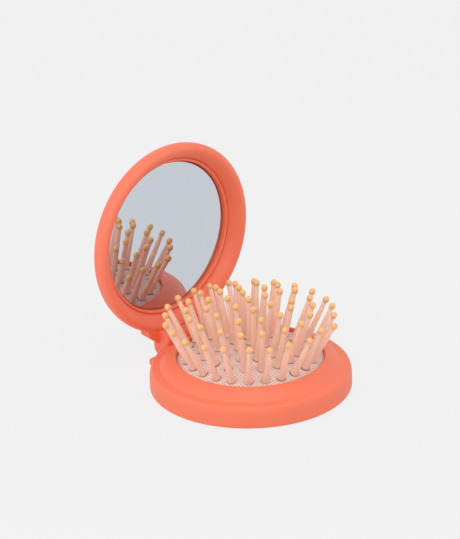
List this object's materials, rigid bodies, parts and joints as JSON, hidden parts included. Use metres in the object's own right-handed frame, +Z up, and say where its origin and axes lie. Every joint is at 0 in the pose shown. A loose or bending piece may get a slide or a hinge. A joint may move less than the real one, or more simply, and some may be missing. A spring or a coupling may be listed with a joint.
{
  "type": "folding hairbrush with mirror",
  "caption": "Round folding compact hairbrush: ball-tipped pins on a domed rubber cushion in a ring base, with a hinged lid that holds a round mirror.",
  "frame": {"origin": "centre of the annular foot, in the plane that the base stands on", "axes": "+Z up out of the base towards the pins; +Y towards the hinge; X along the hinge axis. The lid stands upright at rest, its mirror facing -Y."},
  "size_m": [0.07, 0.0834, 0.0782],
  "materials": {
    "soft_touch_coral": "soft-touch matt lacquer on moulded ABS",
    "coral_abs": "fine moulded matt",
    "natural_abs": "as moulded",
    "cushion_rubber": "fine woven-look moulded texture",
    "backing_rubber": "smooth moulded",
    "pin_nylon": "translucent, smooth",
    "tip_resin": "dipped, glossy",
    "hinge_steel": "drawn wire",
    "mirror_glass": "polished, ground bevel",
    "mirror_silver": "silvered and painted back",
    "adhesive_tape": "double-sided adhesive sheet"
  },
  "bodies": {
    "base": {"base_shell": "soft_touch_coral", "base_plate": "coral_abs", "clamp_ring": "natural_abs", "hinge_pin": "hinge_steel"},
    "lid": {"lid_shell": "soft_touch_coral", "mirror_glass": "mirror_glass", "mirror_silver": "mirror_silver", "mirror_tape": "adhesive_tape"},
    "brush": {"cushion": "cushion_rubber", "cushion_backing": "backing_rubber", "thumb_disc": "coral_abs", "pin_centre": "pin_nylon", "pins_ring_1": "pin_nylon", "pins_ring_2": "pin_nylon", "pins_ring_3": "pin_nylon", "pins_ring_4": "pin_nylon", "tip_centre": "tip_resin", "tips_ring_1": "tip_resin", "tips_ring_2": "tip_resin", "tips_ring_3": "tip_resin", "tips_ring_4": "tip_resin"}
  },
  "joints": [
    {"name": "lid_hinge", "type": "hinge", "parent": "base", "child": "lid", "pos_m": [0, 0.03602, 0.00788], "axis": [-1, 0, 0], "range_deg": [-90, 0]},
    {"name": "brush_travel", "type": "slide", "parent": "base", "child": "brush", "axis": [0, 0, 1], "range_m": [-0.02, 0], "deforming": ["cushion", "pins_ring_4", "tips_ring_4"]}
  ],
  "couplings": [
    {"joint": "brush_travel", "follows": "lid_hinge", "m_per_rad": 0.01273}
  ]
}
